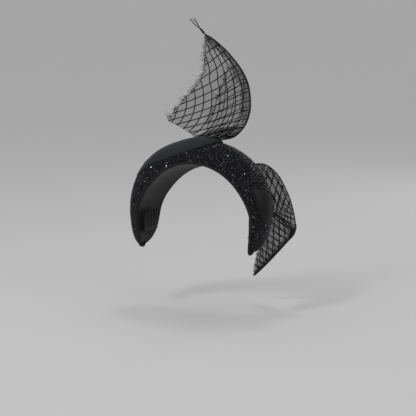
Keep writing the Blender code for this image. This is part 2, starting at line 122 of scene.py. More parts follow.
def on_band(phi, theta, lift=0.0):
    """Point on the padded surface; theta runs 0 at the rear edge to 180 at the front."""
    phi, theta, lift = np.broadcast_arrays(np.asarray(phi, float), theta, lift)
    y, r = raw_profile(phi, theta)
    y0, r0 = raw_profile(phi, np.maximum(theta - 1.5, 0.0))
    y1, r1 = raw_profile(phi, np.minimum(theta + 1.5, 180.0))
    dy, dr = y1 - y0, r1 - r0
    size = np.hypot(dy, dr)
    return place(phi, y + lift * dr / size, r - lift * dy / size)


def run_length(points):
    """Distance along a polyline at each of its points."""
    return np.concatenate([[0.0], np.cumsum(np.linalg.norm(np.diff(points, axis=0), axis=1))])


def respaced(points, along, count):
    """The polyline's values at evenly spaced distances."""
    want = np.linspace(0.0, along[-1], count)
    return np.stack([np.interp(want, along, points[:, k]) for k in range(points.shape[1])], -1)


def smooth_path(points, count):
    """Evenly spaced points on a smooth curve through the given ones."""
    pts = np.asarray(points, float)
    ends = np.vstack([pts[:1], pts, pts[-1:]])
    fine = []
    for i in range(1, len(ends) - 2):
        p0, p1, p2, p3 = ends[i - 1:i + 3]
        t = np.linspace(0.0, 1.0, 16, endpoint=False)[:, None]
        a = 2.0 * p1 + (p2 - p0) * t
        b = (2.0 * p0 - 5.0 * p1 + 4.0 * p2 - p3) * t ** 2
        c = (3.0 * p1 - p0 - 3.0 * p2 + p3) * t ** 3
        fine.append((a + b + c) * 0.5)
    fine = np.vstack(fine + [pts[-1:]])
    return respaced(fine, run_length(fine), count)


# ---------------------------------------------------------------- materials
def add_node(tree, kind, **values):
    node = tree.nodes.new(kind)
    for key, value in values.items():
        if hasattr(node, key):
            setattr(node, key, value)
        else:
            node.inputs[key.replace("_", " ")].default_value = value
    return node


def make_material(name, base, rough, vary=None, rough_vary=0.08, bump=0.3, scale=900.0, weave=None,
                  sheen=0.0, metallic=0.0, alpha=1.0, anisotropic=0.0, specular=0.5, distance=0.0002):
    """Principled surface with its grain, optional colour variation and optional woven threads.

    weave is (threads per metre along, across, depth): it reads the piece's own cloth coordinates.
    """
    mat = bpy.data.materials.new(name)
    mat.use_nodes = True
    tree = mat.node_tree
    shader = tree.nodes["Principled BSDF"]
    shader.inputs["Base Color"].default_value = (*base, 1.0)
    shader.inputs["Metallic"].default_value = metallic
    shader.inputs["Alpha"].default_value = alpha
    shader.inputs["Specular IOR Level"].default_value = specular
    shader.inputs["Sheen Weight"].default_value = sheen
    shader.inputs["Sheen Roughness"].default_value = 0.45
    shader.inputs["Anisotropic"].default_value = anisotropic
    coords = add_node(tree, "ShaderNodeTexCoord")
    noise = add_node(tree, "ShaderNodeTexNoise", Scale=scale, Detail=4.0, Roughness=0.6)
    tree.links.new(coords.outputs["Object"], noise.inputs["Vector"])
    spread = add_node(tree, "ShaderNodeMapRange")
    spread.inputs["To Min"].default_value = max(rough - rough_vary, 0.02)
    spread.inputs["To Max"].default_value = min(rough + rough_vary, 1.0)
    tree.links.new(noise.outputs["Fac"], spread.inputs["Value"])
    tree.links.new(spread.outputs["Result"], shader.inputs["Roughness"])
    height = noise.outputs["Fac"]
    if weave:
        along, across, depth = weave
        cloth = add_node(tree, "ShaderNodeAttribute", attribute_name="cloth")
        total = None
        for count, direction in ((along, "X"), (across, "Y")):
            wave = add_node(tree, "ShaderNodeTexWave", wave_type="BANDS", bands_direction=direction,
                            Scale=count / 20.0, Distortion=0.6, Detail=1.0)
            wave.inputs["Detail Scale"].default_value = 1.5
            tree.links.new(cloth.outputs["Vector"], wave.inputs["Vector"])
            if total is None:
                total = wave.outputs["Fac"]
            else:
                both = add_node(tree, "ShaderNodeMath", operation="MULTIPLY")
                tree.links.new(total, both.inputs[0])
                tree.links.new(wave.outputs["Fac"], both.inputs[1])
                total = both.outputs[0]
        mix = add_node(tree, "ShaderNodeMath", operation="MULTIPLY_ADD")
        mix.inputs[1].default_value = depth
        tree.links.new(total, mix.inputs[0])
        tree.links.new(noise.outputs["Fac"], mix.inputs[2])
        height = mix.outputs[0]
    if vary:
        broad = add_node(tree, "ShaderNodeTexNoise", Scale=scale * 0.12, Detail=5.0, Roughness=0.65)
        tree.links.new(coords.outputs["Object"], broad.inputs["Vector"])
        ramp = add_node(tree, "ShaderNodeValToRGB")
        ramp.color_ramp.elements[0].position = 0.35
        ramp.color_ramp.elements[0].color = (*base, 1.0)
        ramp.color_ramp.elements[1].position = 0.68
        ramp.color_ramp.elements[1].color = (*vary, 1.0)
        tree.links.new(broad.outputs["Fac"], ramp.inputs["Fac"])
        tree.links.new(ramp.outputs["Color"], shader.inputs["Base Color"])
    rough_bump = add_node(tree, "ShaderNodeBump", Strength=bump, Distance=distance)
    tree.links.new(height, rough_bump.inputs["Height"])
    tree.links.new(rough_bump.outputs["Normal"], shader.inputs["Normal"])
    return mat


def ground_cloth(name, alpha):
    """Half-clear cobweb between the net's thick threads."""
    return make_material(name, BLACK, 0.9, bump=0.4, scale=2500.0, alpha=alpha, specular=0.0)


BLACK = (0.008, 0.008, 0.009)
M_CLOTH = make_material("cover_cloth", BLACK, 0.85, vary=(0.013, 0.013, 0.015), specular=0.2, bump=0.6)
M_BEAD = make_material("cut_bead_black", (0.005, 0.005, 0.006), 0.17, rough_vary=0.08, bump=0.1,
                       specular=0.25)
M_SMOKE = make_material("cut_bead_smoke", (0.020, 0.021, 0.025), 0.2, rough_vary=0.08, bump=0.1,
                        metallic=0.6)
M_SPARK = make_material("cut_bead_bright", (0.12, 0.125, 0.14), 0.2, rough_vary=0.05, bump=0.05,
                        metallic=1.0)
M_MIRROR = make_material("cut_bead_mirror", (0.40, 0.41, 0.44), 0.1, rough_vary=0.04, bump=0.05,
                         metallic=1.0)
M_STRIP = make_material("strip_fabric", (0.009, 0.010, 0.012), 0.76, vary=(0.012, 0.013, 0.015),
                        sheen=0.08,
                        weave=(2200.0, 2200.0, 0.8), bump=0.5, scale=500.0, specular=0.3)
M_SATIN = make_material("tab_satin", (0.003, 0.003, 0.004), 0.4, vary=(0.005, 0.005, 0.006), sheen=0.02,
                        weave=(900.0, 4200.0, 0.5), bump=0.25, anisotropic=0.5, specular=0.22)
M_LINING = make_material("lining_satin", (0.006, 0.006, 0.007), 0.5, vary=(0.009, 0.009, 0.010),
                         sheen=0.03,
                         weave=(1200.0, 3600.0, 0.5), bump=0.3, scale=350.0, specular=0.2)
M_BINDING = make_material("binding_tape", (0.007, 0.007, 0.008), 0.75, vary=(0.011, 0.011, 0.012),
                          sheen=0.08,
                          weave=(1500.0, 500.0, 1.2), bump=0.7, specular=0.3)
M_NET = make_material("net_thread", (0.006, 0.006, 0.007), 0.66, bump=0.5, scale=1800.0, specular=0.3)
M_GROUND = ground_cloth("net_ground", 0.21)
M_SHEER = ground_cloth("net_ground_sheer", 0.10)
M_VEIL = ground_cloth("veil_ground", 0.28)
M_DENSE = ground_cloth("bunched_net", 0.4)
M_ROLL = make_material("net_rolled", (0.007, 0.007, 0.008), 0.72, vary=(0.011, 0.011, 0.012), bump=0.8,
                       scale=1600.0, sheen=0.08, specular=0.3)
M_THREAD = make_material("sewing_thread", BLACK, 0.6, bump=0.6, scale=2400.0, sheen=0.1)
M_FELT = make_material("felt_patch", (0.010, 0.010, 0.011), 0.95, vary=(0.017, 0.017, 0.018), bump=0.9,
                       scale=1300.0, sheen=0.3, specular=0.2)
M_COMB = make_material("comb_plastic", (0.009, 0.009, 0.010), 0.24, bump=0.12, scale=260.0)
M_CORE = make_material("core_plastic", (0.02, 0.02, 0.02), 0.42, bump=0.2, scale=300.0)
M_BUCKRAM = make_material("buckram", (0.03, 0.03, 0.03), 0.85, vary=(0.05, 0.05, 0.048), bump=0.9,
                          scale=700.0)
M_WADDING = make_material("wadding", (0.42, 0.42, 0.40), 0.97, vary=(0.55, 0.55, 0.53), bump=1.0,
                          scale=260.0)
M_WIRE = make_material("covered_wire", (0.03, 0.03, 0.032), 0.6, bump=0.6, scale=2200.0, metallic=0.2)


# ---------------------------------------------------------------- mesh tools
def new_piece(name, verts, faces, mat, body, smooth=True, cloth=None):
    """Mesh piece from points in millimetres; cloth is its own (along, across) coordinates in metres."""
    mesh = bpy.data.meshes.new(name)
    verts = np.asarray(verts, np.float32) * MM
    if isinstance(faces, np.ndarray):
        count, width = faces.shape
        mesh.vertices.add(len(verts))
        mesh.vertices.foreach_set("co", verts.ravel())
        mesh.loops.add(count * width)
        mesh.loops.foreach_set("vertex_index", faces.astype(np.int32).ravel())
        mesh.polygons.add(count)
        mesh.polygons.foreach_set("loop_start", np.arange(0, count * width, width, dtype=np.int32))
    else:
        mesh.from_pydata(verts.tolist(), [], faces)
    mesh.update(calc_edges=True)
    mesh.validate()
    mesh.polygons.foreach_set("use_smooth", [smooth] * len(mesh.polygons))
    if cloth is not None:
        layer = mesh.attributes.new("cloth", "FLOAT_VECTOR", "POINT")
        flat = np.zeros((len(verts), 3), np.float32)
        flat[:, :2] = cloth
        layer.data.foreach_set("vector", flat.ravel())
    mesh.materials.append(mat)
    obj = bpy.data.objects.new(name, mesh)
    bpy.context.scene.collection.objects.link(obj)
    if body:
        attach(obj, body)
    return obj


def grid_faces(rows, cols, start=0, flip=False):
    r, c = np.meshgrid(np.arange(rows - 1), np.arange(cols - 1), indexing="ij")
    a = (start + r * cols + c).ravel()
    quad = np.stack([a, a + 1, a + cols + 1, a + cols], -1)
    return quad[:, ::-1] if flip else quad


def slab(name, low, high, mat, body):
    """Closed sheet between two grids of points, with its rim closed."""
    rows, cols = low.shape[:2]
    size = rows * cols
    verts = np.vstack([low.reshape(-1, 3), high.reshape(-1, 3)])
    index = np.arange(size).reshape(rows, cols)
    ring = np.concatenate([index[0], index[1:, -1], index[-1, -2::-1], index[-2:0:-1, 0]])
    after = np.roll(ring, -1)
    rim = np.stack([ring, after, after + size, ring + size], -1)
    faces = np.vstack([grid_faces(rows, cols, 0), grid_faces(rows, cols, size, flip=True), rim[:, ::-1]])
    along = np.cumsum(np.linalg.norm(np.diff(high, axis=0, prepend=high[:1]), axis=2), axis=0)
    across = np.cumsum(np.linalg.norm(np.diff(high, axis=1, prepend=high[:, :1]), axis=2), axis=1)
    cloth = np.stack([along, across], -1).reshape(-1, 2) * MM
    return new_piece(name, verts, faces, mat, body, cloth=np.vstack([cloth, cloth]))


def thin_sheet(name, points, mat, body):
    """Slab that reaches NET_HALF to either side of a grid of points."""
    thin = np.zeros_like(points)
    thin[..., 1] = NET_HALF
    return slab(name, points - thin, points + thin, mat, body)


def around(side, other, angle):
    """Unit vectors that turn from side towards other, one for each angle."""
    return side * np.cos(angle)[..., None] + other * np.sin(angle)[..., None]


def ring_quads(rows, cols):
    """Quads that join closed rings of points, and the points' numbers ring by ring."""
    index = np.arange(rows * cols).reshape(rows, cols)
    nxt = np.roll(index, -1, axis=1)
    return np.stack([index[:-1], nxt[:-1], nxt[1:], index[1:]], -1).reshape(-1, 4), index


def tube_data(path, radius, sides):
    """Points and faces of one closed round tube; radius may vary along it."""
    p = np.asarray(path, float)[:, :3]
    n = len(p)
    radius = np.broadcast_to(np.asarray(radius, float), (n,))
    tangent = np.gradient(p, axis=0)
    tangent /= np.maximum(np.linalg.norm(tangent, axis=1, keepdims=True), 1e-9)
    side = np.cross(tangent[0], [0.3, 0.5, 0.81])
    sides_out = []
    for t in tangent:
        side = side - t * side.dot(t)
        side /= max(np.linalg.norm(side), 1e-9)
        sides_out.append(side)
    u = np.array(sides_out)
    v = np.cross(tangent, u)
    a = np.linspace(0.0, 2.0 * np.pi, sides, endpoint=False)
    ring = u[:, None] * np.cos(a)[None, :, None] + v[:, None] * np.sin(a)[None, :, None]
    verts = (p[:, None] + ring * radius[:, None, None]).reshape(-1, 3)
    i, k = np.meshgrid(np.arange(n - 1), np.arange(sides), indexing="ij")
    a0 = (i * sides + k).ravel()
    a1 = (i * sides + (k + 1) % sides).ravel()
    quads = np.stack([a0, a1, a1 + sides, a0 + sides], -1)
    tips = np.vstack([p[:1] - tangent[:1] * radius[0] * 0.4, p[-1:] + tangent[-1:] * radius[-1] * 0.4])
    verts = np.vstack([verts, tips])
    k = np.arange(sides)
    first = np.stack([(k + 1) % sides, k, np.full(sides, n * sides), np.full(sides, n * sides)], -1)
    last = np.stack([(n - 1) * sides + k, (n - 1) * sides + (k + 1) % sides,
                     np.full(sides, n * sides + 1), np.full(sides, n * sides + 1)], -1)
    return verts, quads, np.vstack([first, last])[:, :3]


def tubes(name, paths, radius, mat, body, sides=6, extra=None):
    """One piece made of many round threads. radius is a number, or one value or array per path."""
    verts, faces, start = [], [], 0
    for n, path in enumerate(paths):
        r = radius[n] if isinstance(radius, list) else radius
        v, quads, caps = tube_data(path, r, sides)
        verts.append(v)
        faces += (quads + start).tolist() + (caps + start).tolist()
        start += len(v)
    if extra is not None:
        v, f = extra
        verts.append(v)
        faces += (f + start).tolist()
    return new_piece(name, np.vstack(verts), faces, mat, body)


def contours(grid, field, levels):
    """Lines of equal field on a grid of points, as chained polylines. grid may carry extra values."""
    out = []
    for level in levels:
        g = field - level
        g = np.where(np.abs(g) < 1e-9, 1e-9, g)
        points, links = {}, {}
        for kind, a, b, pa, pb in (("h", g[:, :-1], g[:, 1:], grid[:, :-1], grid[:, 1:]),
                                   ("v", g[:-1], g[1:], grid[:-1], grid[1:])):
            for r, c in zip(*np.nonzero(a * b < 0)):
                t = a[r, c] / (a[r, c] - b[r, c])
                points[(kind, int(r), int(c))] = pa[r, c] * (1.0 - t) + pb[r, c] * t
        cells = set()
        for kind, r, c in points:
            cells.add((r, c))
            cells.add((r - 1, c) if kind == "h" else (r, c - 1))
        for r, c in cells:
            found = [e for e in (("h", r, c), ("v", r, c + 1), ("h", r + 1, c), ("v", r, c))
                     if e in points]
            if r < 0 or c < 0 or r >= g.shape[0] - 1 or c >= g.shape[1] - 1:
                continue
            for i in range(0, len(found) - 1, 2):
                links.setdefault(found[i], []).append(found[i + 1])
                links.setdefault(found[i + 1], []).append(found[i])
        seen = set()
        starts = sorted(e for e in links if len(links[e]) == 1) + sorted(links)
        for e in starts:
            if e in seen:
                continue
            chain = [e]
            seen.add(e)
            while True:
                ahead = [x for x in links[chain[-1]] if x not in seen]
                if not ahead:
                    break
                seen.add(ahead[0])
                chain.append(ahead[0])
            if len(chain) > 3:
                out.append(np.array([points[x] for x in chain]))
    return out


def tidy_line(line, step=1.6):
    """Evenly respaced and lightly smoothed polyline."""
    for _ in range(2):
        line[1:-1] = 0.5 * line[1:-1] + 0.25 * (line[:-2] + line[2:])
    along = run_length(line[:, :3])
    return respaced(line, along, max(int(along[-1] / step) + 1, 3)), along[-1]


def scatter_solid(centres, axes, radii, template, faces):
    """Copies of a small solid at centres, its own z along axes, spun at random."""
    z = axes / np.linalg.norm(axes, axis=1, keepdims=True)
    x = np.cross(z, RNG.normal(size=z.shape))
    x /= np.linalg.norm(x, axis=1, keepdims=True)
    y = np.cross(z, x)
    turn = np.stack([x, y, z], -1)
    verts = np.einsum("nij,vj->nvi", turn, template) * radii[:, None, None] + centres[:, None]
    count = len(template)
    all_faces = []
    for f in faces:
        all_faces.append(np.asarray(f)[None] + np.arange(len(centres))[:, None] * count)
    return verts.reshape(-1, 3), all_faces


KNOT = np.array([(1, 0, 0), (0, 1, 0), (-1, 0, 0), (0, -1, 0), (0, 0, 0.8), (0, 0, -0.8)], float)
KNOT_FACES = [(0, 1, 4), (1, 2, 4), (2, 3, 4), (3, 0, 4), (1, 0, 5), (2, 1, 5), (3, 2, 5), (0, 3, 5)]


def scale_normals(phi, theta):
    """Outward unit normals of the padded surface."""
    along = on_band(phi + 0.8, theta) - on_band(phi - 0.8, theta)
    across = on_band(phi, np.minimum(theta + 1.5, 180.0)) - on_band(phi, np.maximum(theta - 1.5, 0.0))
    n = np.cross(across, along)
    return n / np.linalg.norm(n, axis=-1, keepdims=True)


# ---------------------------------------------------------------- edge lines shared with the CAD part
SAIL_FOLD = [(-27, -34, 107), (-44, -33.5, 112), (-58, -33, 126.5), (-65.5, -32, 144),
             (-67, -31, 163), (-64, -31, 182), (-56.5, -31.5, 198), (-45, -32, 213),
             (-29.5, -33, 228.5), (-12, -34.3, 241.5), (0, -35, 248)]
SAIL_LONG_EDGE = [(19, -42.5, 108), (28, -44, 113.5), (40, -45, 119.5), (58.5, -46, 127), (48.5, -46, 142),
                  (36, -46, 156), (22, -46, 171), (8, -45, 190), (3, -43, 207), (0.5, -39, 230),
                  (1.5, -36, 243)]
SAIL_SHORT_EDGE = [(-6, -30, 114.5), (-10, -24, 131), (-20, -21, 151), (-27, -21, 171),
                   (-34, -23, 190), (-38, -27, 207)]
SAIL_TIP = [(0.9, -35, 249.2), (3.5, -35, 252), (9, -35, 257.5), (14.5, -35, 263.5), (20, -35, 269.5)]
VEIL_RIM = [(-56, -66, 70), (-66, -64.5, 71.5), (-77, -64, 71), (-88, -65, 64.5), (-97.5, -66, 54),
            (-105.5, -68, 38.5), (-112, -70, 22), (-116.5, -71, 4), (-119, -72, -12)]
VEIL_HEM = [(-119, -72.2, -14.5), (-114.5, -74, -25), (-103, -78, -37.5), (-82, -84, -60.5),
            (-64, -89, -79), (-51, -93, -91)]
VEIL_INNER = [(-50, -67.5, 62), (-58, -68, 52), (-67, -67, 38), (-78, -62, 22), (-98.6, -46.6, 7.5),
              (-84, -60, -14), (-70, -74, -36), (-60, -83, -58), (-53, -89, -76)]
VEIL_PHI, VEIL_THETA = -86.0, 127.0
STRIP_REAR = [(67, 158), (65, 118), (61, 80), (55, 52), (47, 41), (37, 33.5), (26, 27), (14, 29),
              (5, 35), (-3, 46), (-9, 62), (-13, 82)]
STRIP_FRONT = [(45, 165), (38, 150), (28, 132), (17, 115), (7, 102), (-2, 96), (-9, 93), (-14.5, 92)]
TAB_LOWER = [(-57, 35), (-63, 32), (-71, 30), (-80, 33), (-87, 46), (-92, 78), (-91, 112)]
TAB_UPPER = [(-58, 38), (-60, 47), (-62, 56), (-64, 66), (-67, 78), (-71, 95), (-75, 112)]


# ---------------------------------------------------------------- halo: cover, beads, lining, bindings
def halo_stations(count, limit=ROUND_END - 0.05):
    """Angles round the arch, closer together where the arms' ends turn in."""
    s = np.linspace(-1.0, 1.0, count)
    return limit * np.sin(s * np.pi / 2.0) * 0.35 + limit * s * 0.65


def build_cover():
    phis = halo_stations(201)
    thetas = np.linspace(0.0, 180.0, 61)
    P, T = np.meshgrid(phis, thetas, indexing="ij")
    ripple = 0.12 * np.sin(P * 1.9 + 0.05 * T) * np.sin(np.radians(T))
    outer = on_band(P, T, ripple - 0.25)
    inner = on_band(P, T, -0.9)
    half = band_width(P) / 2.0
    middle = rear_edge(P) - half
    ends = np.abs(P) > HALF_ARC - 0.9
    y_flat = middle + np.maximum(half - 0.9, 0.3) * np.cos(np.radians(T))
    flat = place(P, y_flat, inner_radius(y_flat))
    inner = np.where(ends[..., None], flat, inner)
    edge = (T < 0.1) | (T > 179.9)
    y_edge = middle + (half - 0.3) * np.cos(np.radians(T))
    inner = np.where((edge & ~ends)[..., None], place(P, y_edge, inner_radius(y_edge)), inner)
    cover = slab("halo_cloth", inner, outer, M_CLOTH, "halo")
    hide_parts("beaded_cover")


def inside_outline(points, outline):
    """Which points lie inside a closed outline, by counting crossings."""
    x, y = points[:, 0], points[:, 1]
    inside = np.zeros(len(points), bool)
    for (ax, ay), (bx, by) in zip(outline, np.roll(outline, -1, axis=0)):
        crosses = (ay > y) != (by > y)
        at = ax + (y - ay) * (bx - ax) / np.where(by == ay, 1e-9, by - ay)
        inside ^= crosses & (x < at)
    return inside


def laid_outline(edge_a, edge_b):
    a = smooth_path([(p, t, 0.0) for p, t in edge_a], 60)[:, :2]
    b = smooth_path([(p, t, 0.0) for p, t in edge_b], 60)[:, :2]
    return np.vstack([a, b[::-1]])


def bead_places(pitch):
    """Bead seats in rows round the padding: angles (phi, theta), without those under the strip and tab."""
    out = []
    arc = HEAD_RADIUS + 31.0
    phi = -ROUND_END + 0.8
    while phi < ROUND_END - 0.8:
        fine = np.linspace(3.0, 177.0, 240)
        line = on_band(np.full(240, phi), fine)
        along = run_length(line)
        seats = np.arange(RNG.uniform(0.0, pitch), along[-1], pitch)
        seats = seats + RNG.normal(0.0, 0.16 * pitch, len(seats))
        theta = np.interp(seats, along, fine)
        jitter = RNG.normal(0.0, 0.16 * math.degrees(pitch / arc), len(seats))
        out.append(np.stack([phi + jitter, theta], -1))
        phi += math.degrees(pitch * 0.9 / arc)
    seats = np.vstack(out)
    y, radius = raw_profile(seats[:, 0], seats[:, 1])
    round_top = np.abs(seats[:, 0]) < 90.0
    keep = RNG.uniform(size=len(seats)) < np.where(round_top, (radius / arc) ** 0.7, 0.93)
    keep &= np.abs(seats[:, 0]) < ROUND_END - 0.7
    seats = seats[keep]
    covered = np.zeros(len(seats), bool)
    for a, b in ((STRIP_REAR, STRIP_FRONT), (TAB_LOWER, TAB_UPPER)):
        covered |= inside_outline(seats, laid_outline(a, b))
    return seats[~covered]


def cut_bead(sides, girdle, table, depth):
    """Faceted bead: a flat table, a ring of slanted facets, a girdle and a closed base."""
    rings = [(table, depth), (girdle, depth * 0.35), (girdle * 0.93, -depth * 0.5)]
    verts = []
    for n, (radius, height) in enumerate(rings):
        for k in range(sides):
            a = 2.0 * math.pi * (k + 0.5 * (n == 0)) / sides
            verts.append((radius * math.cos(a), radius * math.sin(a), height))
    faces = [tuple(range(sides)), tuple(2 * sides + k for k in reversed(range(sides)))]
    for n in (0, 1):
        for k in range(sides):
            j = (k + 1) % sides
            if n == 0:
                faces.append((k, sides + j, j))
                faces.append((k, sides + k, sides + j))
            else:
                faces.append((sides + k, 2 * sides + k, 2 * sides + j, sides + j))
    return np.array(verts), faces


def build_beads():
    seats = bead_places(BEAD_PITCH)
    centres = on_band(seats[:, 0], seats[:, 1], np.full(len(seats), 0.25))
    normals = scale_normals(seats[:, 0], seats[:, 1])
    tilt = RNG.normal(0.0, 0.30, normals.shape)
    axes = normals + tilt
    size = RNG.uniform(0.68, 0.94, len(seats))
    pick = RNG.uniform(size=len(seats))
    groups = (("beads_black_a", 0.32, M_BEAD), ("beads_black_b", 0.64, M_BEAD),
              ("beads_smoke", 0.88, M_SMOKE), ("beads_bright", 0.988, M_SPARK),
              ("beads_mirror", 1.0, M_MIRROR))
    template, faces = cut_bead(6, 1.0, 0.52, 0.62)
    least = 0.0
    for name, most, mat in groups:
        chosen = (pick >= least) & (pick < most)
        least = most
        verts, parts = scatter_solid(centres[chosen], axes[chosen], size[chosen], template, faces)
        flat = [row for part in parts for row in part.tolist()]
        new_piece(name, verts, flat, mat, "halo", smooth=False)


def build_lining():
    phis = halo_stations(161, HALF_ARC - 2.6)
    across = np.linspace(0.0, 1.0, 29)
    P, A = np.meshgrid(phis, across, indexing="ij")
    y = rear_edge(P) - 1.2 + (-band_width(P) + 2.4) * A
    pucker = 0.10 * np.sin(P * 1.3) * np.sin(np.pi * A) ** 0.5
    edge = np.minimum(A, 1.0 - A) * band_width(P)
    turned = 0.25 * np.exp(-((edge - 3.0) / 0.8) ** 2)
    low = place(P, y, inner_radius(y) + 0.05 + turned)
    high = place(P, y, inner_radius(y) + 0.72 + pucker)
    lining = slab("lining_cloth", low, high, M_LINING, "halo")
    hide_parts("satin_lining")
    stitches = []
    for phi in np.arange(-HALF_ARC + 6.0, HALF_ARC - 6.0, 2.6):
        for edge_y in (float(rear_edge(phi)) - 3.0, float(front_edge(phi)) + 3.0):
            steps = np.linspace(0.0, 1.5, 4)
            lift = inner_radius(edge_y) + 0.05 - 0.28 * np.sin(np.pi * steps / 1.5)
            stitches.append(place(phi + steps, np.full(4, edge_y), lift))
    hem = tubes("lining_stitches", stitches, 0.14, M_THREAD, "halo", sides=5)


def build_binding(name, node, y_of, outward):
    """Woven tape folded over the edge, with slanted hand stitches."""
    phis = halo_stations(321)
    y_at = y_of(phis)
    base = inner_radius(y_at)
    tall = np.minimum(3.6, pad_height(phis) + 0.4)
    wobble = 0.10 * np.sin(phis * 2.3) + 0.07 * np.sin(phis * 5.1 + 1.0)
    rings = []
    for a in np.linspace(0.0, 2.0 * np.pi, 14, endpoint=False):
        out = 1.05 + 0.75 * np.sign(np.cos(a)) * np.abs(np.cos(a)) ** 0.7
        up = 0.5 + 0.5 * np.sign(np.sin(a)) * np.abs(np.sin(a)) ** 0.7
        radius = base - 0.1 + up * tall * 0.97 + (up > 0.6) * wobble
        rings.append(place(phis, y_at + outward * out * end_round(phis), radius))
    rings = np.stack(rings, 1)
    rows, cols = rings.shape[:2]
    quads, index = ring_quads(rows, cols)
    caps = [index[0].tolist(), index[-1, ::-1].tolist()]
    if outward > 0:
        quads = quads[:, ::-1]
        caps = [c[::-1] for c in caps]
    faces = quads.tolist() + caps
    run = np.repeat(np.radians(phis) * 85.0, cols)
    round_it = np.tile(np.arange(cols) * 0.9, rows)
    cloth = np.stack([run, round_it], -1) * MM
    tape = new_piece(name, rings.reshape(-1, 3), faces, M_BINDING, "halo", cloth=cloth)
    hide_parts(node)
    stitches = []
    for phi in np.arange(-HALF_ARC + 3.0, HALF_ARC - 3.0, 2.3):
        y = float(y_of(np.array(phi))) + outward * np.array([1.9, 1.75, 1.2, 0.4])
        height = min(3.6, float(pad_height(phi)) + 0.4)
        lift = np.array([height - 1.3, height - 0.4, height + 0.12, height + 0.06])
        stitches.append(place(phi + np.linspace(0.0, 0.9, 4), y, inner_radius(y_of(np.array(phi))) + lift))
    tubes(name + "_stitches", stitches, 0.16, M_THREAD, "halo", sides=5)
    return tape


# ---------------------------------------------------------------- fabric laid on the halo
def strip_rise(phi, across):
    """Extra lift of the strip, whose front edge climbs the foot of the sail near the crown."""
    start = np.clip((22.0 - phi) / 18.0, 0.0, 1.0)
    end = np.clip((-phi - 4.0) / 8.0, 0.0, 1.0)
    return 4.0 * start * start * (3.0 - 2.0 * start) * (1.0 - 0.6 * end) * across ** 3


def no_rise(phi, across):
    return 0.0 * phi * across


def laid_sheet(name, node, edge_a, edge_b, rows, cols, lift, thick, mat, pleats,
               rise=no_rise):
    """Cloth that follows the padding between two edge lines, with soft lengthwise pleats."""
    a = smooth_path([(p, t, 0.0) for p, t in edge_a], rows)[:, :2]
    b = smooth_path([(p, t, 0.0) for p, t in edge_b], rows)[:, :2]
    t = np.linspace(0.0, 1.0, cols)[None, :, None]
    q = a[:, None] * (1.0 - t) + b[:, None] * t
    along = np.linspace(0.0, 1.0, rows)[:, None]
    across = t[..., 0]
    fold = sum(h * np.exp(-(((across - c - d * along) / w) ** 2)) for c, d, w, h in pleats)
    crown = 0.35 * (np.sin(np.pi * across) + 1e-9) ** 0.6
    rim = 0.55 * (np.exp(-across * 26.0) + np.exp(-(1.0 - across) * 26.0))
    phi, theta = q[..., 0], q[..., 1]
    lift = lift + rise(phi, across)
    top = lift + thick * 0.55 + (fold + crown) * thick * 0.6 - rim * thick * 0.8
    low = on_band(phi, theta, lift - 0.1)
    high = on_band(phi, theta, top)
    piece = slab(name, low, high, mat, "halo")
    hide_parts(node)
    hems = [on_band(e[:, 0], e[:, 1], lift[:, side] + 0.45) for side, e in ((0, a), (-1, b))]
    hem = tubes(name + "_edges", hems, 0.55, mat, "halo", sides=8)
    return piece


STRIP_PLEATS = [(0.22, 0.05, 0.035, 0.35), (0.47, -0.08, 0.05, 0.30), (0.70, 0.05, 0.03, 0.35),
                (0.86, -0.02, 0.03, 0.25)]
TAB_PLEATS = [(0.20, 0.12, 0.07, 0.35), (0.42, 0.05, 0.09, 0.5), (0.65, 0.0, 0.07, 0.35),
              (0.84, -0.05, 0.06, 0.3)]


def build_laid():
    laid_sheet("strip_cloth", "swirl_strip", STRIP_REAR, STRIP_FRONT, 121, 41, 0.9, 1.2, M_STRIP,
               STRIP_PLEATS, strip_rise)
    laid_sheet("tab_cloth", "satin_tab", TAB_LOWER, TAB_UPPER, 81, 31, 0.9, 1.0, M_SATIN,
               TAB_PLEATS)


# ---------------------------------------------------------------- net
def knots_at(line_sets, reach):
    """Where lines of one set pass close to lines of the other."""
    first = np.vstack([line[:, :3] for line in line_sets[0]])
    found = []
    for line in line_sets[1]:
        for p in line[:, :3]:
            d = np.linalg.norm(first - p, axis=1)
            if d.min() < reach:
                found.append((p + first[d.argmin()]) / 2.0)
    kept = []
    for p in found:
        if all(np.linalg.norm(p - k) > 3.0 for k in kept):
            kept.append(p)
    return np.array(kept).reshape(-1, 3)


def whiskers(edge, inward, count, longest, curl, stray=0.55):
    """Short loose thread ends along a cut edge."""
    out = []
    n = len(edge)
    for _ in range(count):
        i = RNG.integers(1, n - 1)
        start = edge[i]
        direction = -inward[i] / np.linalg.norm(inward[i])
        direction = direction + RNG.normal(0.0, stray, 3) * (1.0, 0.35, 1.0)
        bend = RNG.normal(0.0, curl, 3)
        length = RNG.uniform(0.3, 1.0) * longest
        t = np.linspace(0.0, 1.0, 6)[:, None]
        out.append(start + direction * t * length + bend * t ** 2 * length)
    return out


